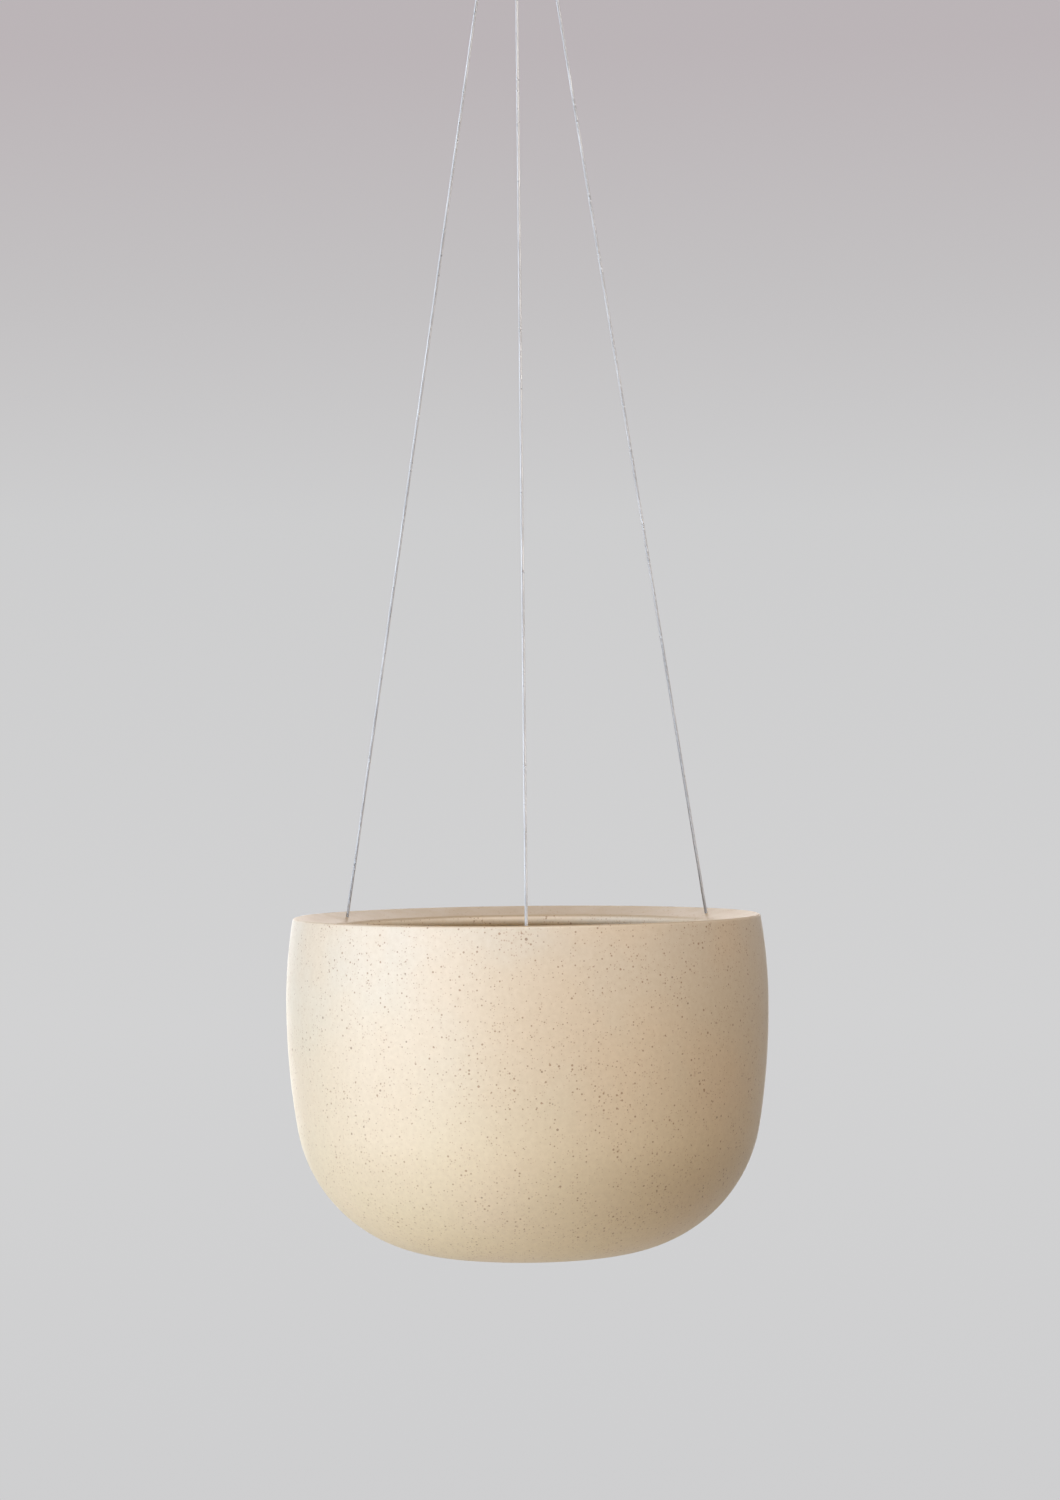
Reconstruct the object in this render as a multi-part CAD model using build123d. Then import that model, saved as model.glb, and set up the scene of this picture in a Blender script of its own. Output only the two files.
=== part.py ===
from build123d import *
from math import acos, asin, atan2, cos, degrees, hypot, pi, radians, sin, sqrt, tan
import os

# A round stoneware bowl that hangs on three wire ropes from a swivel hook in a ceiling plate.
# Millimetres. The origin is the centre of the plate's face against the ceiling, +Z is up and
# the front of the planter is -Y.

# Bowl: heights are counted from the plane of its rim
bowl_height = 167.5
rim_radius = 116.25
belly_bulge = 3.75
widest_below_rim = 43.5
side_radius = 376.0
foot_radius = 41.0
foot_ring_width = 8.0
foot_recess = 1.2
wall = 5.5
rim_edge_radius = 1.5

# Lip: it turns in from the rim and slopes down to a rounded inner edge
lip_width = 19.75
lip_slope = 14.0
lip_thickness = 5.5
under_lip_radius = 1.4

# Holes in the lip, drilled square to its slope: one in front, two behind
hole_inset = 10.65
hole_radius = 1.8
hole_azimuths = {"front": -90.0, "left": 150.0, "right": 30.0}

# Wire rope and what closes its two ends
wire_diameter = 1.5
wire_gap = 0.05
wire_foot = 0.6
washer_radius = 3.2
washer_thickness = 0.8
washer_bore_radius = 1.15
seat_gap = 0.05
ball_radius = 2.2
sleeve_length = 9.0
sleeve_wall = 1.0
sleeve_dent = 0.25
sleeve_band = 1.8
sleeve_below_throat = 1.5
thimble_inner_radius = 3.2
thimble_sheet = 0.5
thimble_length = 13.0
thimble_width = 2.7
thimble_tip_cut = 1.0

# Ring on which the three eyes hang
ring_rod_diameter = 4.0
ring_inner_diameter = 25.0
eye_spacing = 3.7
eye_seat_gap = 0.5
wire_rise = 563.0

# Hook
hook_rod_diameter = 5.0
hook_inner_radius = 9.0
hook_neck_radius = 8.0
hook_tip_rise = 35.0
hook_tip_round = 1.8
neck_below_plate = 3.0
ring_seat_gap = 0.3
nut_across_flats = 8.0
nut_thickness = 3.2
nut_corner_cut = 30.0
lock_collar_radius = 3.5
lock_collar_height = 1.5
lock_collar_round = 0.6
thread_gap = 0.03
hook_washer_radius = 5.0
hook_washer_thickness = 1.0
shank_above_nut = 1.0
shank_chamfer = 0.5
swivel_gap = 0.1

# Ceiling plate
plate_radius = 31.0
plate_sheet = 1.8
plate_edge_radius = 0.8
dome_depth = 11.0
dome_top_radius = 18.0
dome_floor_radius = 11.0
dome_bend_radius = 3.0
screw_circle_radius = 24.0
screw_hole_radius = 2.2
screw_count = 3

# Radii and heights that follow from the sizes above
widest_radius = rim_radius + belly_bulge
lip_opening_radius = rim_radius - lip_width
hole_circle_radius = rim_radius - hole_inset
wire_radius = wire_diameter / 2
hook_rod_radius = hook_rod_diameter / 2
ring_rod_radius = ring_rod_diameter / 2
hook_bend_radius = hook_inner_radius + hook_rod_radius
ring_radius = ring_inner_diameter / 2 + ring_rod_radius
neck_rise = sqrt(hook_bend_radius**2 + 2 * hook_bend_radius * hook_neck_radius)
neck_z = -dome_depth - neck_below_plate
hook_centre_z = neck_z - neck_rise
hook_bottom_z = hook_centre_z - hook_bend_radius
ring_centre_z = hook_bottom_z + hook_rod_radius + ring_seat_gap - ring_inner_diameter / 2
ring_bar_z = ring_centre_z - ring_radius
rim_z = ring_bar_z - wire_rise

# The eye's middle line is this far from the middle of the thimble's round end
eye_radius = thimble_inner_radius + thimble_sheet + wire_gap + wire_radius
eye_centre_drop = thimble_inner_radius - ring_rod_radius - eye_seat_gap
half_pitch = wire_radius + wire_gap

# Route of the eye, seen square to it: across and up from the middle of the ring's rod.
# The standing part comes up at the first point, and the tail ends inside the sleeve.
eye_points = [
    (0.8, -13.7),
    (4.83, -0.36),
    (3.28, 2.85),
    (0.0, 4.13),
    (-3.28, 2.85),
    (-4.83, -0.36),
    (-0.8, -13.7),
    (-0.8, -24.5),
]
throat_radius = 7.5
crown_radius = 4.0


def start_of(path):
    """Place at the start of a path, square to it, where its section is drawn."""
    return Location(Plane(origin=path @ 0, z_dir=path % 0))


def arc(centre, radius, start, end):
    """Arc about a centre from one angle to another, in degrees, in the plane of the sketch."""
    return CenterArc(centre, radius, start, end - start)


def on_line(point, direction, length):
    return (point[0] + direction[0] * length, point[1] + direction[1] * length)


def reach_circle(point, direction, centre, radius):
    """How far along a line from a point inside a circle the circle is met."""
    px, py = point[0] - centre[0], point[1] - centre[1]
    along = px * direction[0] + py * direction[1]
    return -along + sqrt(along**2 - (px**2 + py**2 - radius**2))


# Lip: directions of its slope, inwards and up from its face
slope_in = (-cos(radians(lip_slope)), -sin(radians(lip_slope)))
slope_up = (-sin(radians(lip_slope)), cos(radians(lip_slope)))


def bowl_section():
    """Half section of the bowl, from its foot round the outside, the lip and the inside to the floor."""
    corner = (rim_radius, 0.0)
    # Outer arcs, each tangent to the next: foot corner, side, and the part that draws in to the rim
    across = foot_radius - widest_radius + side_radius
    down = widest_below_rim - bowl_height
    corner_radius = (side_radius**2 - across**2 - down**2) / (2 * (down + side_radius))
    corner_centre = (foot_radius, corner_radius - bowl_height)
    side_centre = (widest_radius - side_radius, -widest_below_rim)
    upper_radius = (belly_bulge**2 + widest_below_rim**2) / (2 * belly_bulge)
    upper_centre = (widest_radius - upper_radius, -widest_below_rim)
    turn = degrees(atan2(corner_centre[1] - side_centre[1], corner_centre[0] - side_centre[0]))
    rim_turn = degrees(asin(widest_below_rim / upper_radius))

    # Lip: its face, the round inner edge and its underside
    half = lip_thickness / 2
    width = (rim_radius - lip_opening_radius - half - half * slope_up[0]) / -slope_in[0]
    edge_centre = on_line(on_line(corner, slope_in, width), slope_up, -half)
    edge_top = on_line(edge_centre, slope_up, half)
    edge_nose = on_line(edge_centre, slope_in, half)
    edge_under = on_line(edge_centre, slope_up, -half)
    outwards = (-slope_in[0], -slope_in[1])
    reach = reach_circle(edge_under, outwards, upper_centre, upper_radius - wall)
    lip_root = on_line(edge_under, outwards, reach)
    root_turn = degrees(atan2(lip_root[1] - upper_centre[1], lip_root[0] - upper_centre[0]))

    foot_inner = foot_radius - foot_ring_width
    edges = [
        Line((0, foot_recess - bowl_height), (foot_inner - foot_recess, foot_recess - bowl_height)),
        Line((foot_inner - foot_recess, foot_recess - bowl_height), (foot_inner, -bowl_height)),
        Line((foot_inner, -bowl_height), (foot_radius, -bowl_height)),
        arc(corner_centre, corner_radius, -90, turn),
        arc(side_centre, side_radius, turn, 0),
        arc(upper_centre, upper_radius, 0, rim_turn),
        Line(corner, edge_top),
        ThreePointArc(edge_top, edge_nose, edge_under),
        Line(edge_under, lip_root),
        arc(upper_centre, upper_radius - wall, root_turn, 0),
        arc(side_centre, side_radius - wall, 0, turn),
        arc(corner_centre, corner_radius - wall, turn, -90),
        Line((foot_radius, wall - bowl_height), (0, wall - bowl_height)),
        Line((0, wall - bowl_height), (0, foot_recess - bowl_height)),
    ]
    section = make_face(edges)
    rim_corner = section.vertices().sort_by_distance((corner[0], corner[1], 0))[0]
    section = fillet(rim_corner, rim_edge_radius)
    root_corner = section.vertices().sort_by_distance((lip_root[0], lip_root[1], 0))[0]
    return fillet(root_corner, under_lip_radius)


def lip_plane(azimuth):
    """Plane on the lip's face at a hole's middle, with its normal up out of the lip."""
    out = Vector(cos(radians(azimuth)), sin(radians(azimuth)), 0)
    drop = (rim_radius - hole_circle_radius) * tan(radians(lip_slope))
    middle = out * hole_circle_radius + Vector(0, 0, rim_z - drop)
    normal = out * slope_up[0] + Vector(0, 0, slope_up[1])
    along = out * slope_in[0] + Vector(0, 0, slope_in[1])
    return Plane(origin=middle, x_dir=along, z_dir=normal)


def bowl():
    body = Pos(0, 0, rim_z) * revolve(Plane.XZ * bowl_section(), Axis.Z)
    for azimuth in hole_azimuths.values():
        body -= lip_plane(azimuth) * Cylinder(hole_radius, 4 * lip_thickness)
    return body


washer_drop = lip_thickness + seat_gap + washer_thickness
ball_drop = washer_drop + sqrt(ball_radius**2 - washer_bore_radius**2) + seat_gap


def ball_centre(azimuth):
    return lip_plane(azimuth).from_local_coords(Vector(0, 0, -ball_drop))


def eye_plane(name):
    """Plane of one wire and its eye. Its origin is the middle of the ring's rod, its Y runs up the wire."""
    offset = {"front": 0.0, "left": -eye_spacing, "right": eye_spacing}[name]
    tilt = asin(offset / ring_radius)
    rod_middle = Vector(offset, 0, ring_centre_z - ring_radius * cos(tilt))
    rod_way = Vector(cos(tilt), 0, sin(tilt))
    foot = ball_centre(hole_azimuths[name])
    up = (rod_middle - foot).normalized()
    across = up.cross(rod_way).normalized()
    # The standing part runs half a pitch beside the eye's middle, so the aim is corrected by that
    up = (rod_middle + across * half_pitch - foot).normalized()
    normal = (rod_way - up * rod_way.dot(up)).normalized()
    across = up.cross(normal)
    origin = foot + up * (rod_middle - foot).dot(up) - across * half_pitch
    return Plane(origin=origin, x_dir=across, z_dir=normal)


def wire_foot_drop(name):
    """How far down the wire from the ring's rod its ball is."""
    plane = eye_plane(name)
    return -plane.to_local_coords(ball_centre(hole_azimuths[name])).Y


def wire_route(name):
    """The wire's points in the plane of its eye, from its foot under the ball to its tail."""
    foot = wire_foot_drop(name) + ball_radius + wire_foot
    return [(half_pitch, -foot)] + eye_points


def turn_at(before, point, after):
    way_in = Vector(*point) - Vector(*before)
    way_out = Vector(*after) - Vector(*point)
    return way_in.get_angle(way_out)


def suspension_wire(name):
    points = wire_route(name)
    throats = (eye_points[0], eye_points[-2])
    radii = [throat_radius if point in throats else crown_radius for point in points[1:-1]]
    path = FilletPolyline(*points, radius=radii)
    plane = eye_plane(name)
    tube = sweep(plane * start_of(path) * Circle(wire_radius), path=plane * path)
    expected = pi * wire_radius**2 * path.length
    turns = [turn_at(*points[i : i + 3]) for i in range(len(points) - 2)]
    print(name, "wire length", round(path.length, 1), "volume ratio", round(tube.volume / expected, 4))
    print("  radii", radii, "turns", [round(turn) for turn in turns])
    return tube


def lip_washer(name):
    plane = lip_plane(hole_azimuths[name])
    disc = Cylinder(washer_radius, washer_thickness) - Cylinder(washer_bore_radius, 2 * washer_thickness)
    return plane * Pos(0, 0, washer_thickness / 2 - washer_drop) * disc


def along_wire(name, height):
    """Plane square to the wire at a height counted up from the ring's rod, with its X across the eye."""
    plane = eye_plane(name)
    return Plane(origin=plane.from_local_coords(Vector(0, height, 0)), x_dir=plane.x_dir, z_dir=plane.y_dir)


def stop_ball(name):
    plane = along_wire(name, -wire_foot_drop(name))
    ball = Sphere(ball_radius) - Cylinder(wire_radius + wire_gap, 3 * ball_radius)
    return plane * Pos(half_pitch, 0, 0) * ball


def thimble_outline():
    """Closed outline of the eye's middle line: a round end and two sides that meet at the throat."""
    centre_y = -eye_centre_drop
    throat_y = centre_y - thimble_length
    reach = hypot(half_pitch, thimble_length)
    side_turn = degrees(acos(eye_radius / reach)) - degrees(atan2(half_pitch, thimble_length))
    start = side_turn - 90
    touch = (eye_radius * cos(radians(start)), centre_y + eye_radius * sin(radians(start)))
    return [
        Line((half_pitch, throat_y), touch),
        arc((0, centre_y), eye_radius, start, 180 - start),
        Line((-touch[0], touch[1]), (-half_pitch, throat_y)),
    ]


def eye_thimble(name):
    """Teardrop channel that carries the wire in its outer groove."""
    sides = thimble_outline()
    throat = Line(sides[2] @ 1, sides[0] @ 0)
    outer = make_face(sides + [throat])
    outer -= Pos(*(throat @ 0.5)) * Rectangle(4 * half_pitch, 2 * thimble_tip_cut)
    depth = eye_radius - thimble_inner_radius
    inner = offset(outer, amount=-depth, kind=Kind.INTERSECTION)
    body = extrude(outer - inner, thimble_width / 2, both=True)
    groove_path = Wire(sides)
    body -= sweep(start_of(groove_path) * Circle(wire_radius + wire_gap), path=groove_path)
    return eye_plane(name) * body


def crimp_sleeve(name):
    """Double sleeve: both parts of the wire share its oval bore, and the press leaves three full bands."""
    bore = wire_radius + wire_gap
    outer = bore + sleeve_wall
    barrel = extrude(SlotCenterToCenter(2 * half_pitch, 2 * (outer - sleeve_dent)), sleeve_length)
    band = extrude(SlotCenterToCenter(2 * half_pitch, 2 * outer), sleeve_band)
    band = chamfer(band.faces().filter_by(Axis.Z).edges(), sleeve_dent / 2)
    for share in (0, 0.5, 1):
        barrel += Pos(0, 0, share * (sleeve_length - sleeve_band)) * band
    barrel -= extrude(SlotCenterToCenter(2 * half_pitch, 2 * bore), sleeve_length)
    top = eye_points[0][1] - sleeve_below_throat
    return along_wire(name, top - sleeve_length) * barrel


def hanging_ring():
    return Pos(0, 0, ring_centre_z) * Rot(90, 0, 0) * Torus(ring_radius, ring_rod_radius)


dome_floor_z = plate_sheet - dome_depth
washer_top_z = dome_floor_z + swivel_gap + hook_washer_thickness
nut_base_z = washer_top_z + thread_gap
nut_top_z = nut_base_z + nut_thickness + lock_collar_height


def swivel_hook():
    """Round rod: a shank on the axis, a neck that swings back and a bend that comes up in front."""
    meet = degrees(atan2(neck_rise, hook_neck_radius))
    path = Wire(
        [
            Line((0, nut_top_z + shank_above_nut), (0, neck_z)),
            arc((hook_neck_radius, neck_z), hook_neck_radius, 180, 180 + meet),
            arc((0, hook_centre_z), hook_bend_radius, meet, -180 - hook_tip_rise),
        ]
    )
    rod = sweep(start_of(path) * Circle(hook_rod_radius), path=path)
    rod = fillet(rod.faces().sort_by_distance(path @ 1)[0].edges(), hook_tip_round)
    rod = chamfer(rod.faces().sort_by_distance(path @ 0)[0].edges(), shank_chamfer)
    return Plane.YZ * rod


def hook_nut():
    """Lock nut: a hexagon whose corners are turned off at both faces, and a round collar on top."""
    half_flats = nut_across_flats / 2
    corner = half_flats / cos(radians(30))
    slope = (corner - half_flats) * tan(radians(nut_corner_cut))
    bore = hook_rod_radius + thread_gap
    turned = Polyline(
        (bore, 0), (half_flats, 0), (corner, slope), (corner, nut_thickness - slope),
        (half_flats, nut_thickness), (bore, nut_thickness), close=True,
    )
    hexagon = extrude(RegularPolygon(half_flats, 6, major_radius=False), nut_thickness)
    nut = hexagon & revolve(Plane.XZ * make_face(turned), Axis.Z)
    collar = Cylinder(lock_collar_radius, lock_collar_height) - Cylinder(bore, 2 * lock_collar_height)
    outer_edge = collar.edges().group_by(Axis.Z)[-1].sort_by(SortBy.RADIUS)[-1]
    collar = fillet(outer_edge, lock_collar_round)
    nut += Pos(0, 0, nut_thickness + lock_collar_height / 2) * collar
    return Pos(0, 0, nut_base_z) * nut


def hook_washer():
    disc = Cylinder(hook_washer_radius, hook_washer_thickness)
    disc -= Cylinder(hook_rod_radius + swivel_gap, 2 * hook_washer_thickness)
    return Pos(0, 0, washer_top_z - hook_washer_thickness / 2) * disc


def ceiling_plate():
    """Pressed plate: a flat flange against the ceiling and a dome that hangs below it for the swivel."""
    drop = dome_depth - plate_sheet
    spread = dome_top_radius - dome_floor_radius
    slant = hypot(spread, drop)
    # The sheet's other face lies this much further in at the same bend
    inset = plate_sheet * (slant - spread) / drop
    bore = hook_rod_radius + swivel_gap
    below_floor = (dome_floor_radius, -dome_depth)
    below_top = (dome_top_radius, -plate_sheet)
    above_top = (dome_top_radius - inset, 0)
    above_floor = (dome_floor_radius - inset, dome_floor_z)
    rim = (plate_radius, -plate_sheet)
    section = make_face(
        Polyline(
            (bore, -dome_depth), below_floor, below_top, rim, (plate_radius, 0),
            above_top, above_floor, (bore, dome_floor_z), close=True,
        )
    )
    inner_bend = dome_bend_radius - plate_sheet
    bends = {
        below_floor: dome_bend_radius,
        above_floor: inner_bend,
        above_top: dome_bend_radius,
        below_top: inner_bend,
        rim: plate_edge_radius,
    }
    for corner, radius in bends.items():
        section = fillet(section.vertices().sort_by_distance((*corner, 0))[0], radius)
    plate = revolve(Plane.XZ * section, Axis.Z)
    for place in PolarLocations(screw_circle_radius, screw_count, start_angle=-90):
        plate -= place * Cylinder(screw_hole_radius, 4 * plate_sheet)
    return plate


def save(node, solid):
    solid.label = node
    export_step(solid, f"parts/{node}.step")
    print(node, "volume", round(solid.volume, 1), "solids", len(solid.solids()))


def main():
    os.makedirs("parts", exist_ok=True)
    print("rim", round(rim_z, 2), "ring bar", round(ring_bar_z, 2), "hook bottom", round(hook_bottom_z, 2))
    save("ceiling_plate", ceiling_plate())
    save("swivel_hook", swivel_hook())
    save("hook_washer", hook_washer())
    save("hook_nut", hook_nut())
    save("hanging_ring", hanging_ring())
    save("bowl", bowl())
    for name in hole_azimuths:
        save(f"suspension_wire_{name}", suspension_wire(name))
        save(f"eye_thimble_{name}", eye_thimble(name))
        save(f"crimp_sleeve_{name}", crimp_sleeve(name))
        save(f"lip_washer_{name}", lip_washer(name))
        save(f"stop_ball_{name}", stop_ball(name))


main()
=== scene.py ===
# %% [markdown]
# # A stoneware planter on three wire ropes
# The object is a round speckled bowl. It hangs on three thin steel ropes, and the ropes hang on a small
# ring, a hook and a plate on the ceiling. This notebook dresses the measured model of that planter: it
# builds the ropes and the glazed bowl as fine meshes, gives every metal piece its finish, and lights
# them softly. All sizes are in metres, and +Z is up.

# %% Load the measured model
import math

import bpy
import numpy as np
from mathutils import Matrix, Vector


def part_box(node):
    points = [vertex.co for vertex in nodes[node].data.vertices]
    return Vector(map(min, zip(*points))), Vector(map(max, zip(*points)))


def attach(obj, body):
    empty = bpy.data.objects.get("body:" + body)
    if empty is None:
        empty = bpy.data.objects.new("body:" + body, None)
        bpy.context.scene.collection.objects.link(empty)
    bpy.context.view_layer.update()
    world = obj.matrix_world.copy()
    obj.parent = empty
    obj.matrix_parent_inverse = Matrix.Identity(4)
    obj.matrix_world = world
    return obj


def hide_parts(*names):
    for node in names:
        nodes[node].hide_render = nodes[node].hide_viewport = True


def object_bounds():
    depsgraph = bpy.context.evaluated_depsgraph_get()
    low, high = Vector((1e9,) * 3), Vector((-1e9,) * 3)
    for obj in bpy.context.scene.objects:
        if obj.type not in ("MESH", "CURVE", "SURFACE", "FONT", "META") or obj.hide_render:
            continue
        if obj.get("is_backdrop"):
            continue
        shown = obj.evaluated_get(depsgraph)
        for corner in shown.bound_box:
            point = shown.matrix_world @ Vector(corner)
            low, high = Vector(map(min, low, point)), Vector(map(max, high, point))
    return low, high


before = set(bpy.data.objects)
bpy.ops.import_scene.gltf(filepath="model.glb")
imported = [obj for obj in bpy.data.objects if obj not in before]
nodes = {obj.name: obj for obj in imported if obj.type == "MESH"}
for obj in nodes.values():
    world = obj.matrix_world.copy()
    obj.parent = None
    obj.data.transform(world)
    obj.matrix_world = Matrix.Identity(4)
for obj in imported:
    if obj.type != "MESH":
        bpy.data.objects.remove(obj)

measured_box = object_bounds()
mm = 0.001
print("pieces of the model:", len(nodes))

# %% [markdown]
# ## The camera
# A long lens about two metres away shows the bowl almost from the side. The lens stands a little above
# the rim, so that the lip is seen as a narrow ellipse. The picture leans by a little over half a degree.
# That is a turn of the camera about its own view, and not a lean of the planter.

# %% Camera
rim_z = -630.48 * mm
camera_distance = 1.907
camera_above_rim = 82 * mm
camera_right = 2.6 * mm
camera_lean = 0.6

lens = bpy.data.cameras.new("camera")
lens.lens = 91.8
lens.sensor_width = 36
lens.clip_end = 60
camera = bpy.data.objects.new("camera", lens)
camera.location = (camera_right, -camera_distance, rim_z + camera_above_rim)
camera.rotation_euler = (math.radians(90), math.radians(camera_lean), 0)
bpy.context.scene.collection.objects.link(camera)
bpy.context.scene.camera = camera
bpy.context.scene.view_settings.view_transform = "Standard"
print("camera at", [round(v, 4) for v in camera.location])

# %% [markdown]
# ## The route of a wire rope
# Each rope starts under its ball below the lip, runs straight up to the ring, goes round a thimble and
# comes back down into a crimped sleeve. A smooth curve with a few control points follows such a route
# well. The points lie in a plane of their own, which holds the ball and is square to the ring's rod, so
# they are written in that plane, across and up, and one matrix takes them to the ring.

# %% The plane of each rope's eye
rope_names = ("front", "left", "right")
eye_shift = {"front": 0.0, "left": -3.7 * mm, "right": 3.7 * mm}
half_pitch = 0.8 * mm
ring_low, ring_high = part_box("hanging_ring")
ring_centre = (ring_low + ring_high) / 2
ring_rod_radius = (ring_high.y - ring_low.y) / 2
ring_radius = (ring_high.x - ring_low.x) / 2 - ring_rod_radius


def middle_of(node):
    low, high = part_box(node)
    return (low + high) / 2


def eye_plane(name):
    """Matrix from across, up and out of a rope's own plane to the planter, and the ball's place in it."""
    shift = eye_shift[name]
    drop = math.sqrt(ring_radius**2 - shift**2)
    rod_middle = ring_centre + Vector((shift, 0, -drop))
    rod_way = Vector((drop, 0, shift)).normalized()
    ball = middle_of(f"stop_ball_{name}")
    up = (rod_middle - ball).normalized()
    across = up.cross(rod_way).normalized()
    up = (rod_middle + across * half_pitch - ball).normalized()
    out = (rod_way - up * rod_way.dot(up)).normalized()
    across = up.cross(out)
    origin = ball + up * (rod_middle - ball).dot(up) - across * half_pitch
    plane = Matrix.Translation(origin) @ Matrix((across, up, out)).transposed().to_4x4()
    return plane, (ball - origin).dot(up)


print("the ring's rod is", round(ring_rod_radius / mm, 2), "mm in radius,",
      "and the ring", round(ring_radius / mm, 2), "mm")

# %% [markdown]
# Only the eye at the top needs points of its own, since the rest of a rope is straight. They go up through
# the sleeve, round the thimble and down again to the cut end in the sleeve, and they are written in
# millimetres from the middle of the ring's rod.

# %% Control points of a rope
below_ball = 2.8 * mm
eye_points = (
    (0.8, -22.7),
    (0.8, -13.7),
    (4.83, -0.36),
    (3.28, 2.85),
    (0.0, 4.13),
    (-3.28, 2.85),
    (-4.83, -0.36),
    (-0.8, -13.7),
    (-0.8, -24.5),
)


def rope_points(name):
    plane, ball_up = eye_plane(name)
    points = [(half_pitch, ball_up - below_ball)]
    points += [(across * mm, up * mm) for across, up in eye_points]
    return [plane @ Vector((across, up, 0)) for across, up in points]


print("the front rope leaves its ball at", [round(v, 4) for v in rope_points("front")[0]])

# %% [markdown]
# ## The strands of a rope
# A rope of this size is six strands laid round a seventh. The strands are what the eye sees as small
# beads, so they are real tubes here and not a bump. Blender first turns the control points into a smooth
# line. Each strand then winds round that line: at every step it stands off the line in a direction that
# turns once in a lay length.

# %% A smooth line through the control points
def smooth_line(points, steps=24):
    """Points along the smooth curve that Blender draws from its control points."""
    curve = bpy.data.curves.new("route", "CURVE")
    curve.dimensions = "3D"
    curve.resolution_u = steps
    spline = curve.splines.new("NURBS")
    spline.points.add(len(points) - 1)
    for control, place in zip(spline.points, points):
        control.co = (*place, 1)
    spline.order_u = 3
    spline.use_endpoint_u = True
    holder = bpy.data.objects.new("route", curve)
    mesh = bpy.data.meshes.new_from_object(holder)
    line = np.array([v.co for v in mesh.vertices])
    bpy.data.objects.remove(holder)
    bpy.data.meshes.remove(mesh)
    bpy.data.curves.remove(curve)
    return line


def even_line(line, step):
    """The same line with its points an even step apart."""
    runs = np.linalg.norm(np.diff(line, axis=0), axis=1)
    along = np.concatenate([[0], np.cumsum(runs)])
    count = int(round(along[-1] / step)) + 1
    places = np.linspace(0, along[-1], count)
    return places, np.stack([np.interp(places, along, line[:, axis]) for axis in range(3)], 1)


def unit(vectors):
    return vectors / np.linalg.norm(vectors, axis=1, keepdims=True)


route = smooth_line(rope_points("front"))
print("the front rope's line has", len(route), "points and is",
      round(float(np.linalg.norm(np.diff(route, axis=0), axis=1).sum()) / mm, 1), "mm long")

# %% Tubes and the rope's mesh
def tube(line, side, radius, sides, along):
    """Vertices and faces of a closed tube about a line, and each vertex's turn and length along it."""
    way = unit(np.gradient(line, axis=0))
    side = unit(side - way * np.sum(side * way, axis=1, keepdims=True))
    other = np.cross(way, side)
    turns = np.arange(sides) * 2 * math.pi / sides
    ring = side[:, None] * np.cos(turns)[None, :, None] + other[:, None] * np.sin(turns)[None, :, None]
    vertices = (line[:, None] + radius * ring).reshape(-1, 3)
    first = np.arange(len(line) - 1)[:, None] * sides
    here, there = np.arange(sides), (np.arange(sides) + 1) % sides
    faces = np.stack([first + here, first + there, first + sides + there, first + sides + here], 2)
    caps = [list(range(sides))[::-1], list(range(len(vertices) - sides, len(vertices)))]
    turn_share = np.broadcast_to(np.arange(sides) / sides, (len(line), sides)).ravel()
    length = np.repeat(along, sides)
    return vertices, faces.reshape(-1, 4).tolist() + caps, np.stack([turn_share, length], 1)


rope_diameter = 1.5 * mm
strands_across = 3
strand_radius = rope_diameter / (2 * strands_across)
lay_length = 10.8 * mm
strand_count = 6
steps_per_lay = 16
strand_sides = 8


def rope_mesh(name, line, normal):
    """Six strands laid round a core, in one mesh that keeps each point's turn and length for the finish."""
    along, line = even_line(line, lay_length / steps_per_lay)
    way = unit(np.gradient(line, axis=0))
    out = np.broadcast_to(np.array(normal), line.shape)
    across = np.cross(way, out)
    tubes = [tube(line, out, strand_radius, strand_sides, along)]
    for strand in range(strand_count):
        turn = 2 * math.pi * (along / lay_length + strand / strand_count)
        away = out * np.cos(turn)[:, None] + across * np.sin(turn)[:, None]
        tubes.append(tube(line + 2 * strand_radius * away, away, strand_radius, strand_sides, along))
    vertices, faces, places, first = [], [], [], 0
    for points, corners, place in tubes:
        vertices += points.tolist()
        faces += [[first + i for i in face] for face in corners]
        places.append(place)
        first += len(points)
    mesh = bpy.data.meshes.new(name)
    mesh.from_pydata(vertices, [], faces)
    lay = mesh.attributes.new("lay", "FLOAT_VECTOR", "POINT")
    flat = np.zeros((len(vertices), 3), np.float32)
    flat[:, :2] = np.concatenate(places)
    lay.data.foreach_set("vector", flat.ravel())
    mesh.shade_smooth()
    return mesh


def place_piece(name, mesh, body):
    """An object for a mesh that is already where it belongs. It moves with one body of the planter."""
    piece = bpy.data.objects.new(name, mesh)
    bpy.context.scene.collection.objects.link(piece)
    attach(piece, body)
    return piece


# %% [markdown]
# Nothing holds a rope between its ball and its sleeve, and the bowl's weight holds it taut. The whole rope
# is 625 mm long. About 575 mm of it runs straight from the lip to the ring, and the rest is the part below
# the lip and what goes round the thimble and back into the sleeve.

# %% The three ropes
ropes = {}
for name in rope_names:
    plane, _ = eye_plane(name)
    line = smooth_line(rope_points(name))
    mesh = rope_mesh(f"rope_{name}", line, plane.col[2][:3])
    rope = place_piece(f"rope_{name}", mesh, "planter")
    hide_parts(f"suspension_wire_{name}")
    ropes[name] = rope
    print(rope.name, len(rope.data.polygons), "faces")

# %% [markdown]
# ## The bowl
# The bowl is turned, so its shape is one section spun about the axis. The section is made of arcs that
# run smoothly into each other: the round foot, the long side, the part that draws in to the rim, the
# lip that slopes inwards, and the same arcs again for the inside. A finely spun mesh of its own takes the
# place of the measured one, because the glaze rounds the edge of every drilled hole, which is real shape,
# and because so large a round piece shows every flat facet in its outline.

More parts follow.
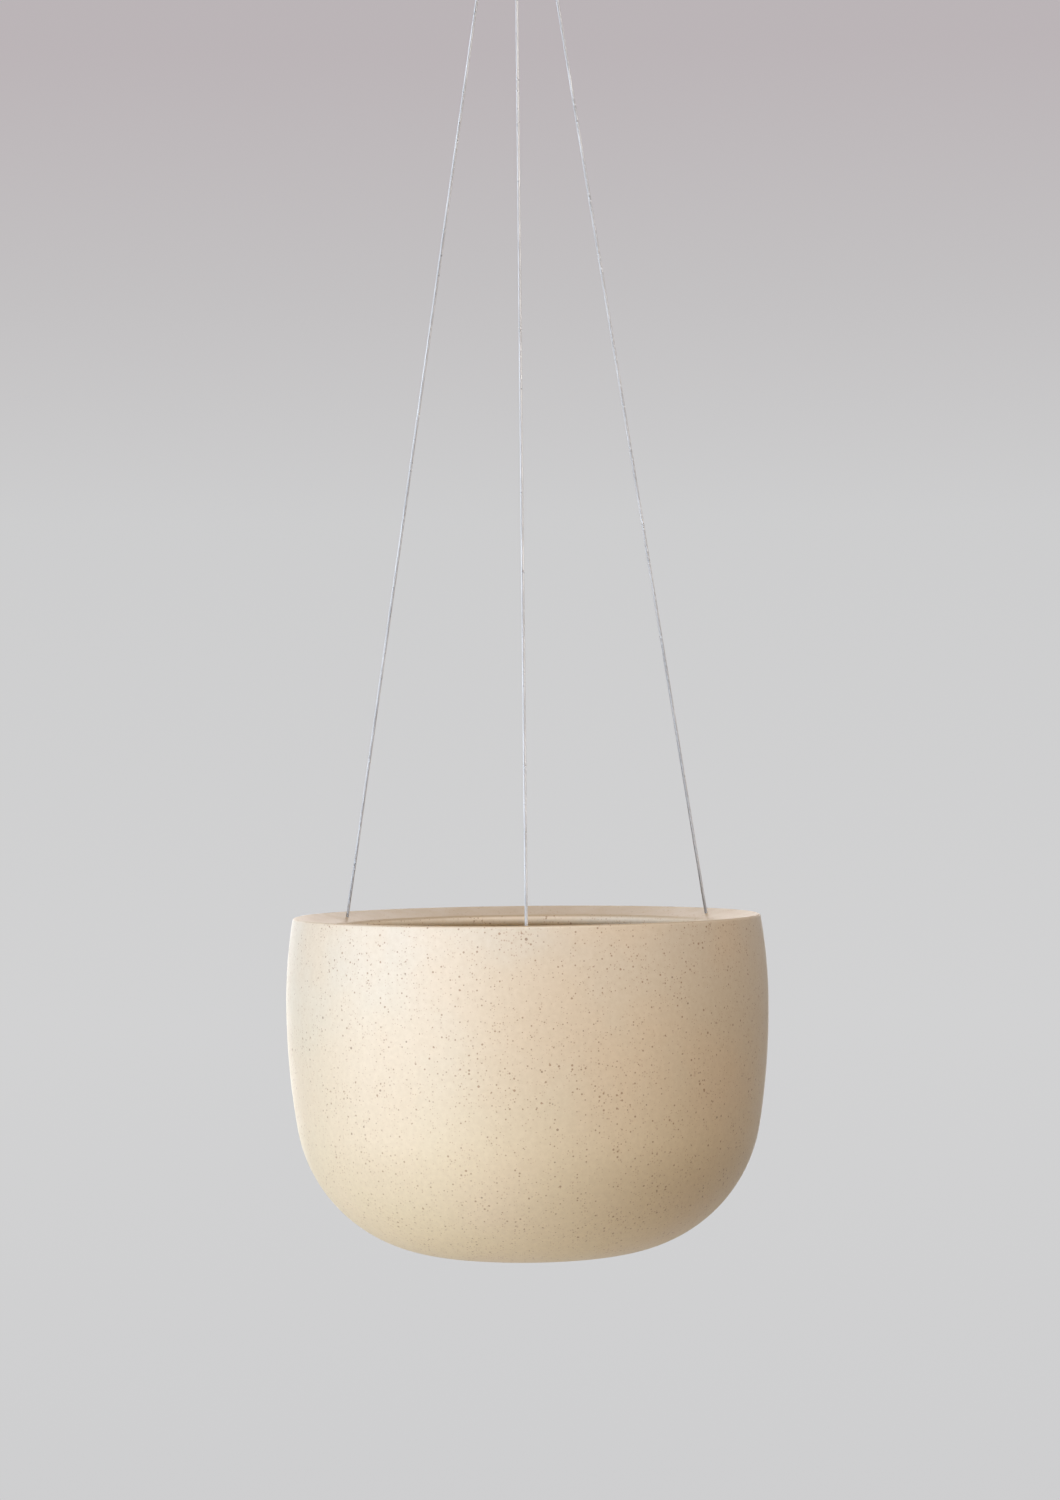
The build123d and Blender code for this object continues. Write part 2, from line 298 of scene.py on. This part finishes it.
# %% Sizes of the bowl
bowl_height = 167.5 * mm
rim_radius = 116.25 * mm
belly_bulge = 3.75 * mm
widest_below_rim = 43.5 * mm
side_radius = 376.0 * mm
foot_radius = 41.0 * mm
foot_ring_width = 8.0 * mm
foot_recess = 1.2 * mm
wall = 5.5 * mm
rim_edge_radius = 1.5 * mm
lip_width = 19.75 * mm
lip_slope = math.radians(14)
lip_thickness = 5.5 * mm
under_lip_radius = 1.4 * mm
# The lip's straight runs stop this far from a corner, which is rounded by itself.
corner_room = 2.2 * mm
# The section ends this far from the axis, and one flat face closes the small hole that is left.
axis_gap = 0.4 * mm
widest_radius = rim_radius + belly_bulge
print("bowl", round(2 * widest_radius / mm, 1), "mm across and", round(bowl_height / mm, 1), "mm high")


# %% Pieces of a section
def arc_points(centre, radius, start, end, count):
    """Points on an arc, given by its centre and its two angles in radians."""
    turns = np.linspace(start, end, count)
    return np.stack([centre[0] + radius * np.cos(turns), centre[1] + radius * np.sin(turns)], 1)


def arc_point(centre, radius, turn):
    return arc_points(centre, radius, turn, turn, 1)[0]


def run_points(start, end, count):
    return np.linspace(start, end, count)


def round_corner(before, corner, after, radius, count):
    """Points that round a corner between two straight runs."""
    before, corner, after = (np.array(p, float) for p in (before, corner, after))
    back, on = unit((before - corner)[None])[0], unit((after - corner)[None])[0]
    half = math.acos(float(np.dot(back, on))) / 2
    reach = radius / math.tan(half)
    centre = corner + unit((back + on)[None])[0] * radius / math.sin(half)
    first, last = corner + back * reach - centre, corner + on * reach - centre
    start = math.atan2(first[1], first[0])
    turn = (math.atan2(last[1], last[0]) - start + math.pi) % (2 * math.pi) - math.pi
    return arc_points(centre, radius, start, start + turn, count)


# %% The bowl's section
def bowl_section():
    """Half section as radius and height above the rim, from the foot's middle round to the floor's middle."""
    across = foot_radius - widest_radius + side_radius
    down = widest_below_rim - bowl_height
    corner_radius = (side_radius**2 - across**2 - down**2) / (2 * (down + side_radius))
    corner_centre = (foot_radius, corner_radius - bowl_height)
    side_centre = (widest_radius - side_radius, -widest_below_rim)
    upper_radius = (belly_bulge**2 + widest_below_rim**2) / (2 * belly_bulge)
    upper_centre = (widest_radius - upper_radius, -widest_below_rim)
    turn = math.atan2(corner_centre[1] - side_centre[1], corner_centre[0] - side_centre[0])
    rim_turn = math.asin(widest_below_rim / upper_radius)

    rim = np.array((rim_radius, 0.0))
    inwards = np.array((-math.cos(lip_slope), -math.sin(lip_slope)))
    up = np.array((-math.sin(lip_slope), math.cos(lip_slope)))
    half = lip_thickness / 2
    reach = (lip_width - half - half * up[0]) / -inwards[0]
    nose = rim + inwards * reach - up * half
    nose_turn = math.atan2(up[1], up[0])
    under = nose - up * half
    from_centre = under - np.array(upper_centre)
    along = float(np.dot(from_centre, -inwards))
    inner = upper_radius - wall
    to_wall = math.sqrt(along**2 - float(np.dot(from_centre, from_centre)) + inner**2)
    lip_root = under - inwards * (to_wall - along)
    root_turn = math.atan2(lip_root[1] - upper_centre[1], lip_root[0] - upper_centre[0])

    foot_inner = foot_radius - foot_ring_width
    recess_z = foot_recess - bowl_height
    floor_top = wall - bowl_height
    edge_turn = rim_edge_radius / upper_radius
    # The arcs stop a little before the rounding of a corner starts.
    corner_turn = 1.6 * edge_turn
    before_rim = arc_point(upper_centre, upper_radius, rim_turn - edge_turn)
    after_root = arc_point(upper_centre, inner, root_turn - edge_turn)
    parts = [
        run_points((axis_gap, recess_z), (foot_inner - foot_recess, recess_z), 14),
        run_points((foot_inner, -bowl_height), (foot_radius, -bowl_height), 6),
        arc_points(corner_centre, corner_radius, -math.pi / 2, turn, 60)[1:],
        arc_points(side_centre, side_radius, turn, 0, 34)[1:],
        arc_points(upper_centre, upper_radius, 0, rim_turn - corner_turn, 26)[1:],
        round_corner(before_rim, rim, rim + inwards * lip_width, rim_edge_radius, 10),
        run_points(rim + inwards * corner_room, nose + up * half, 20),
        arc_points(nose, half, nose_turn, nose_turn + math.pi, 14)[1:],
        run_points(under, lip_root + inwards * corner_room, 12)[1:],
        round_corner(under, lip_root, after_root, under_lip_radius, 8),
        arc_points(upper_centre, inner, root_turn - corner_turn, 0, 26),
        arc_points(side_centre, side_radius - wall, 0, turn, 34)[1:],
        arc_points(corner_centre, corner_radius - wall, turn, -math.pi / 2, 52)[1:],
        run_points((foot_radius, floor_top), (axis_gap, floor_top), 16)[1:],
    ]
    return np.concatenate(parts)


section = bowl_section()
print("the section has", len(section), "points")

# %% [markdown]
# The holes are cut with a tool that has the shape of a glazed hole: a straight bore that flares out at
# both faces of the lip, so each edge comes out round. They are drilled square to the lip's slope, one in
# front and two behind.

# %% Spin the section and cut the holes
spin_steps = 288


def spin(points, steps):
    """Vertices and faces of a section spun about Z. One small flat face closes each of its two ends."""
    turns = np.arange(steps) * 2 * math.pi / steps
    vertices = np.stack(
        [np.outer(points[:, 0], np.cos(turns)), np.outer(points[:, 0], np.sin(turns)),
         np.repeat(points[:, 1:2], steps, 1)], 2).reshape(-1, 3)
    first = np.arange(len(points) - 1)[:, None] * steps
    here, there = np.arange(steps), (np.arange(steps) + 1) % steps
    faces = np.stack([first + here, first + there, first + steps + there, first + steps + here], 2)
    faces = faces.reshape(-1, 4).tolist()
    last = (len(points) - 1) * steps
    faces.append(list(range(steps))[::-1])
    faces.append(list(range(last, last + steps)))
    return vertices, faces


def mesh_piece(name, vertices, faces):
    mesh = bpy.data.meshes.new(name)
    mesh.from_pydata(vertices.tolist(), [], faces)
    mesh.shade_smooth()
    return mesh


hole_radius = 1.8 * mm
hole_inset = 10.65 * mm
hole_flare = 0.5 * mm
hole_turns = {"front": -90, "left": 150, "right": 30}
drill_overshoot = 1.5 * mm
drill_axis_gap = 0.2 * mm
drill_steps = 32


def hole_cutter():
    """Section of the drill: a bore with a round flare at each face of the lip."""
    wide = hole_radius + hole_flare
    top = arc_points((wide, -hole_flare), hole_flare, math.pi, math.pi / 2, 7)
    bottom = top[::-1] * (1, -1) + (0, -lip_thickness)
    above, below = drill_overshoot, -lip_thickness - drill_overshoot
    points = np.concatenate([[(drill_axis_gap, above), (wide, above)], top[::-1], bottom[::-1],
                             [(wide, below), (drill_axis_gap, below)]])
    return spin(points, drill_steps)


def spun_bowl():
    vertices, faces = spin(section, spin_steps)
    bowl = bpy.data.objects.new("glazed_bowl", mesh_piece("glazed_bowl", vertices + (0, 0, rim_z), faces))
    bpy.context.scene.collection.objects.link(bowl)
    points, corners = hole_cutter()
    drop = hole_inset * math.tan(lip_slope)
    middle = Matrix.Translation((rim_radius - hole_inset, 0, rim_z - drop))
    tilt = Matrix.Rotation(-lip_slope, 4, "Y")
    cutters = []
    for name, turn in hole_turns.items():
        cutter = bpy.data.objects.new(f"drill_{name}", mesh_piece(f"drill_{name}", points, corners))
        cutter.matrix_world = Matrix.Rotation(math.radians(turn), 4, "Z") @ middle @ tilt
        bpy.context.scene.collection.objects.link(cutter)
        cut = bowl.modifiers.new(cutter.name, "BOOLEAN")
        cut.operation = "DIFFERENCE"
        cut.object = cutter
        cut.solver = "EXACT"
        cutters.append(cutter)
    ready = bowl.evaluated_get(bpy.context.evaluated_depsgraph_get())
    mesh = bpy.data.meshes.new_from_object(ready)
    for spare in (*cutters, bowl):
        bpy.data.objects.remove(spare)
    mesh.name = "glazed_bowl"
    return mesh


bowl = place_piece("glazed_bowl", spun_bowl(), "planter")
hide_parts("bowl")
print("glazed bowl", len(bowl.data.polygons), "faces")
for measured, made in zip(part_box("bowl"), (bowl.bound_box[0], bowl.bound_box[6])):
    print("  corner off by", [round((a - b) / mm, 3) for a, b in zip(measured, made)], "mm")

# %% [markdown]
# ## Finishes
# A finish is a small graph of nodes. Most of its work is the same each time: make a node, set a few of
# its values, link it to the next. One short helper does that, and each finish below is then a list of
# plain steps.

# %% A helper for finishes
class Finish:
    """A material and the few moves that build its nodes."""

    def __init__(self, name):
        self.material = bpy.data.materials.new(name)
        self.material.use_nodes = True
        self.tree = self.material.node_tree
        self.shader = self.tree.nodes["Principled BSDF"]
        place = self.tree.nodes.new("ShaderNodeTexCoord")
        self.place = place.outputs["Object"]
        self.facing = place.outputs["Normal"]

    def set(self, **values):
        for name, value in values.items():
            self.put(self.shader, name.replace("_", " ").title().replace("Ior", "IOR"), value)

    def put(self, node, name, value):
        socket = node.inputs[name]
        if isinstance(value, bpy.types.NodeSocket):
            self.tree.links.new(value, socket)
        else:
            socket.default_value = value

    def node(self, kind, out=0, settings=None, **inputs):
        made = self.tree.nodes.new("ShaderNode" + kind)
        for name, value in (settings or {}).items():
            setattr(made, name, value)
        for name, value in inputs.items():
            key = int(name[1:]) if name[0] == "_" else name.replace("_", " ")
            self.put(made, key, value)
        return made.outputs[out]

    def height_of(self, vector):
        """The third part of a vector, and so the height of a place or how far a surface faces up."""
        return self.node("SeparateXYZ", out=2, _0=vector)

    def math(self, operation, first, second=0.0):
        return self.node("Math", settings={"operation": operation}, _0=first, _1=second)

    def noise(self, scale, detail=2.0, roughness=0.5, place=None):
        return self.node("TexNoise", Vector=place or self.place, Scale=scale, Detail=detail,
                         Roughness=roughness)

    def span(self, value, low, high, to_low=0.0, to_high=1.0, smooth=False):
        settings = {"interpolation_type": "SMOOTHSTEP" if smooth else "LINEAR"}
        return self.node("MapRange", settings=settings, Value=value, From_Min=low, From_Max=high,
                         To_Min=to_low, To_Max=to_high)

    def mix(self, share, first, second):
        made = self.tree.nodes.new("ShaderNodeMix")
        made.data_type = "RGBA"
        for index, value in ((0, share), (6, first), (7, second)):
            self.put(made, index, value)
        return made.outputs[2]

    def bump(self, height, distance, strength=1.0):
        return self.node("Bump", Height=height, Distance=distance, Strength=strength)


def wear(piece, finish):
    """Gives a piece one finish in all its material slots."""
    piece.data.materials.clear()
    piece.data.materials.append(finish.material)


# %% [markdown]
# ### Speckled stoneware
# The clay carries grains of iron that melt through the cream glaze as small brown dots. Where a dot lies
# depends on the clay all through the wall, so the dots come from points spread in space: a surface cuts
# some of them near their middle and some near their edge, which gives large and small dots by itself.
# Clay is never mixed quite evenly, so a slow noise makes the dots larger in one place than in another.
#
# The glaze is satin, and its cream drifts a little between warmer and cooler and grows warmer downwards.
# Two places differ from the rest. The top of the lip is painted darker and browner, as painted shade: it is
# found as what faces up and lies near the rim. The foot ring is wiped bare before firing, or the pot would
# stick to the kiln shelf, so its clay is matt and has no dots.

# %% Glaze
# Each row is a layer of dots: how far apart they lie, the largest radius, how many of them show, how
# strongly they colour the glaze, and their brown.
speck_sizes = (
    (1.15 * mm, 0.47 * mm, 0.9, 0.52, (0.42, 0.24, 0.12, 1)),
    (2.1 * mm, 0.68 * mm, 0.8, 0.66, (0.32, 0.17, 0.075, 1)),
    (7.0 * mm, 0.80 * mm, 0.8, 0.66, (0.23, 0.12, 0.055, 1)),
)
melted_edge = 0.16 * mm
foot_z = rim_z - bowl_height
# How far below the rim the painted shade on the lip reaches, and over how much it fades out.
lip_shade_reach, lip_shade_fade = 10 * mm, 4 * mm
clay_up_to, glaze_from = 0.5 * mm, 0.9 * mm


def stoneware():
    glaze = Finish("speckled_stoneware")
    height = glaze.height_of(glaze.place)
    depth = glaze.span(height, rim_z, foot_z)
    cream = glaze.mix(depth, (0.730, 0.655, 0.535, 1), (0.790, 0.655, 0.420, 1))
    warm = glaze.span(glaze.noise(17, 3), 0.35, 0.65, 0.0, 0.5, smooth=True)
    cream = glaze.mix(warm, cream, (0.790, 0.640, 0.460, 1))
    cloud = glaze.span(glaze.noise(420, 4, 0.65), 0.35, 0.75, 0.0, 0.28)
    cream = glaze.mix(cloud, cream, (0.56, 0.44, 0.29, 1))

    # Painted shade: where the surface faces up near the rim, on the lip's top, the cream is mixed towards
    # brown for the shade the lip gets.
    facing_up = glaze.span(glaze.height_of(glaze.facing), 0.5, 0.9)
    near_rim = glaze.span(height, rim_z - lip_shade_reach - lip_shade_fade, rim_z - lip_shade_reach)
    painted_lip_shade = glaze.math("MULTIPLY", facing_up, near_rim)
    cream = glaze.mix(glaze.math("MULTIPLY", painted_lip_shade, 0.95), cream, (0.45, 0.325, 0.195, 1))

    crowd = glaze.span(glaze.noise(55, 3, 0.6), 0.3, 0.7, 0.7, 1.15)

    def dots(cell, biggest, share):
        grain = glaze.tree.nodes.new("ShaderNodeTexVoronoi")
        glaze.put(grain, "Scale", 1 / cell)
        glaze.put(grain, "Vector", glaze.place)
        chance = glaze.node("SeparateColor", Color=grain.outputs["Color"])
        size = glaze.span(chance, 1 - share, 1.0, 0.0, biggest / cell)
        inside = glaze.math("SUBTRACT", glaze.math("MULTIPLY", size, crowd), grain.outputs["Distance"])
        return glaze.span(inside, 0.0, melted_edge / cell, smooth=True)

    colour = cream
    for cell, biggest, share, strength, brown in speck_sizes:
        melted = glaze.math("MULTIPLY", dots(cell, biggest, share), strength)
        colour = glaze.mix(melted, colour, brown)
    bare = glaze.span(height, foot_z + glaze_from, foot_z + clay_up_to)
    grog = glaze.span(glaze.noise(700, 4, 0.6), 0.3, 0.7)
    clay = glaze.mix(grog, (0.60, 0.44, 0.29, 1), (0.50, 0.36, 0.23, 1))
    colour = glaze.mix(bare, colour, clay)
    satin = glaze.span(glaze.noise(120, 3), 0.3, 0.7, 0.40, 0.48)
    satin = glaze.span(bare, 0.0, 1.0, satin, 0.85)
    skin = glaze.bump(glaze.noise(900, 2), 0.02 * mm)
    glaze.set(base_color=colour, roughness=satin, normal=skin, ior=1.5)
    return glaze


stoneware_finish = stoneware()
wear(bowl, stoneware_finish)

# %% [markdown]
# ### Steel, and soft sleeves
# The ropes are bright drawn wire, the hook, its nut and the ring are polished rod, and the plate and the
# small pressed pieces are brushed. All of these are one steel. What differs is how the light is spread, by
# fine lines along the way the metal was drawn or brushed. The crimped sleeves are aluminium, which is soft
# enough to be pressed round a rope, and it is paler and duller than the steel.
#
# A strand is itself a bundle of wires. They are far too fine to be tubes as well, so the finish of the
# ropes draws them as a bump that winds round each strand, from the turn and the length kept in its mesh.

# %% Metals
wires_in_strand = 6
# Radians of winding for each metre of rope.
wire_twist = -1800


def rope_steel():
    steel = Finish("rope_steel")
    lay = steel.node("Attribute", out="Vector", settings={"attribute_name": "lay"})
    parts = steel.tree.nodes.new("ShaderNodeSeparateXYZ")
    steel.put(parts, 0, lay)
    turn, along = parts.outputs[0], parts.outputs[1]
    round_strand = steel.math("MULTIPLY", turn, wires_in_strand * 2 * math.pi)
    ridges = steel.math("SINE", steel.math("ADD", round_strand, steel.math("MULTIPLY", along, wire_twist)))
    cloud = steel.span(steel.noise(60, 2), 0.35, 0.65)
    shade = steel.mix(cloud, (0.58, 0.58, 0.575, 1), (0.47, 0.47, 0.47, 1))
    steel.set(base_color=shade, metallic=1.0, roughness=steel.span(steel.noise(300, 2), 0.3, 0.7, 0.26, 0.4),
              normal=steel.bump(ridges, 0.02 * mm, 0.6))
    return steel


def plain_metal(name, light, dark, smooth, rough, line_scale, line_way, depth):
    """A metal with fine lines: a noise that is stretched along one way."""
    metal = Finish(name)
    stretched = metal.node("VectorMath", settings={"operation": "MULTIPLY"}, _0=metal.place, _1=line_way)
    lines = metal.noise(line_scale, 4, 0.6, stretched)
    cloud = metal.noise(45, 3)
    metal.set(base_color=metal.mix(metal.span(cloud, 0.3, 0.7), light, dark), metallic=1.0,
              roughness=metal.span(lines, 0.25, 0.75, smooth, rough),
              normal=metal.bump(lines, depth))
    return metal


rope_finish = rope_steel()
rod_finish = plain_metal("rod_steel", (0.64, 0.64, 0.63, 1), (0.56, 0.56, 0.56, 1), 0.16, 0.3, 900,
                         (1, 1, 0.4), 0.01 * mm)
pressed_finish = plain_metal("pressed_steel", (0.66, 0.66, 0.65, 1), (0.58, 0.58, 0.57, 1), 0.24, 0.4, 1400,
                             (1, 1, 0.5), 0.015 * mm)
sleeve_finish = plain_metal("sleeve_metal", (0.74, 0.74, 0.75, 1), (0.64, 0.64, 0.66, 1), 0.32, 0.5, 1600,
                            (1, 1, 0.3), 0.02 * mm)
plate_finish = plain_metal("plate_steel", (0.67, 0.67, 0.66, 1), (0.6, 0.6, 0.6, 1), 0.22, 0.38, 700,
                           (0.05, 1, 1), 0.012 * mm)
for rope in ropes.values():
    wear(rope, rope_finish)
for node, finish in (("hanging_ring", rod_finish), ("swivel_hook", rod_finish), ("hook_nut", rod_finish),
                     ("hook_washer", pressed_finish), ("ceiling_plate", plate_finish)):
    wear(nodes[node], finish)
for name in rope_names:
    for piece, finish in (("eye_thimble", pressed_finish), ("lip_washer", pressed_finish),
                          ("stop_ball", pressed_finish), ("crimp_sleeve", sleeve_finish)):
        wear(nodes[f"{piece}_{name}"], finish)

# %% [markdown]
# ## Floor, backdrop and light
# The planter hangs in front of a plain pale backdrop. The world's colour is that backdrop: for the
# camera, and for what metal and glaze mirror, it is a soft grey that changes with the height of the view.
# It is palest just below the horizon, darker and slightly warmer above it, and a plain grey again higher
# up. For all other rays it is a plain dim fill.

# %% Backdrop
world = bpy.data.worlds.new("studio")
world.use_nodes = True
bpy.context.scene.world = world
tree = world.node_tree
tree.nodes.clear()


def world_node(kind, **inputs):
    made = tree.nodes.new("ShaderNode" + kind)
    for name, value in inputs.items():
        key = int(name[1:]) if name[0] == "_" else name.replace("_", " ")
        if isinstance(value, bpy.types.NodeSocket):
            tree.links.new(value, made.inputs[key])
        else:
            made.inputs[key].default_value = value
    return made


backdrop_colours = (
    (-0.30, (0.600, 0.600, 0.610, 1)),
    (-0.07, (0.645, 0.645, 0.650, 1)),
    (0.06, (0.615, 0.615, 0.620, 1)),
    (0.12, (0.546, 0.530, 0.537, 1)),
    (0.18, (0.500, 0.460, 0.475, 1)),
    (0.24, (0.490, 0.455, 0.470, 1)),
    (0.42, (0.590, 0.590, 0.600, 1)),
)
lowest, highest = backdrop_colours[0][0], backdrop_colours[-1][0]
height = world_node("SeparateXYZ", _0=world_node("TexCoord").outputs["Generated"]).outputs[2]
share = world_node("MapRange", Value=height, From_Min=lowest, From_Max=highest)
ramp = world_node("ValToRGB", Fac=share.outputs[0])
stops = ramp.color_ramp.elements
for rise, _ in backdrop_colours[1:-1]:
    stops.new((rise - lowest) / (highest - lowest))
for stop, (_, colour) in zip(stops, backdrop_colours):
    stop.color = colour
fill_strength = 0.05
seen = world_node("Background", Color=ramp.outputs[0], Strength=1.0)
fill = world_node("Background", Color=(1.0, 0.86, 0.74, 1), Strength=fill_strength)
rays = world_node("LightPath").outputs
kinds = world_node("Math", _0=rays["Is Camera Ray"], _1=rays["Is Glossy Ray"])
kinds.operation = "MAXIMUM"
kinds = world_node("Math", _0=kinds.outputs[0], _1=rays["Is Transmission Ray"])
kinds.operation = "MAXIMUM"
blend = world_node("MixShader", Fac=kinds.outputs[0], _1=fill.outputs[0], _2=seen.outputs[0])
world_node("OutputWorld", Surface=blend.outputs[0])

# %% [markdown]
# The floor lies far below the planter and fades out towards its edge, so the eye finds no line where it
# meets the backdrop. It glows a little for the camera alone, which lifts it to the backdrop's grey without
# throwing any light on the bowl.

# %% Floor
floor_z = -2.1
floor_radius = 2.8
floor_lift = 0.36
floor_sides = 96


def floor_finish():
    """Pale floor that fades into the backdrop towards its edge, so that no edge shows."""
    pale = Finish("pale_floor")
    away = pale.node("VectorMath", out="Value", settings={"operation": "LENGTH"}, _0=pale.place)
    shade = pale.span(pale.noise(1.5, 2), 0.3, 0.7, 0.0, 1.0)
    pale.set(base_color=pale.mix(shade, (0.62, 0.62, 0.62, 1), (0.64, 0.64, 0.645, 1)), roughness=0.9,
             alpha=pale.span(away, 0.35 * floor_radius, 0.98 * floor_radius, 1.0, 0.0, smooth=True))
    seen = pale.node("LightPath", out="Is Camera Ray")
    pale.set(emission_color=(1.0, 1.0, 1.0, 1), emission_strength=pale.math("MULTIPLY", seen, floor_lift))
    return pale


floor_turns = np.arange(floor_sides) * 2 * math.pi / floor_sides
floor_corners = np.stack([np.cos(floor_turns), np.sin(floor_turns), 0 * floor_turns], 1) * floor_radius
floor_mesh = mesh_piece("floor", floor_corners, [list(range(floor_sides))])
floor = bpy.data.objects.new("floor", floor_mesh)
floor.location.z = floor_z
bpy.context.scene.collection.objects.link(floor)
wear(floor, floor_finish())
floor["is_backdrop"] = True

# %% [markdown]
# The light of a room with one wide window is made of five large soft lamps, so that no shadow has a hard
# edge. The window is by far the strongest: it stands at the left, a little cool, and gives the bright side
# and the slow fall to the right. The overhead lamp lights the lip, and the warm side lamp keeps the right
# side from going dull. The bounce is what a pale floor throws back up under the belly, and the lamp behind
# is there for views from the back. None of them is seen by the camera.

# %% Lamps
def soft_lamp(name, place, target, size, power, colour):
    """A large rectangle of light that faces a point."""
    lamp = bpy.data.lights.new(name, "AREA")
    lamp.shape = "RECTANGLE"
    lamp.size, lamp.size_y = size
    lamp.energy = power
    lamp.color = colour
    made = bpy.data.objects.new(name, lamp)
    made.location = place
    made.rotation_euler = (Vector(target) - Vector(place)).to_track_quat("-Z", "Y").to_euler()
    made.visible_camera = False
    bpy.context.scene.collection.objects.link(made)


bowl_middle = Vector((0, 0, rim_z - bowl_height / 2))


def from_bowl(azimuth, rise, distance):
    """A point seen from the bowl under an azimuth from the camera's side, left below zero, and a rise."""
    turn, up = math.radians(azimuth), math.radians(rise)
    way = Vector((math.sin(turn) * math.cos(up), -math.cos(turn) * math.cos(up), math.sin(up)))
    return bowl_middle + way * distance


soft_lamp("window", from_bowl(-60, 5, 2.3), bowl_middle, (3.1, 2.0), 59, (0.84, 0.965, 1.16))
soft_lamp("overhead", from_bowl(10, 55, 2.0), bowl_middle, (1.6, 1.2), 26, (1.04, 0.97, 0.93))
soft_lamp("warm_side", from_bowl(50, 5, 2.3), bowl_middle, (0.85, 2.0), 6, (1.45, 0.96, 0.5))
soft_lamp("behind", from_bowl(-172, 10, 2.8), bowl_middle, (2.4, 2.2), 34, (1.0, 0.98, 0.96))
soft_lamp("bounce", from_bowl(-45, -44, 1.3), bowl_middle, (1.35, 1.15), 5.2, (1.12, 0.96, 0.78))

# %% Finish
made_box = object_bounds()
for word, low_high in (("measured", measured_box), ("dressed", made_box)):
    print(word, [[round(v / mm, 2) for v in corner] for corner in low_high])
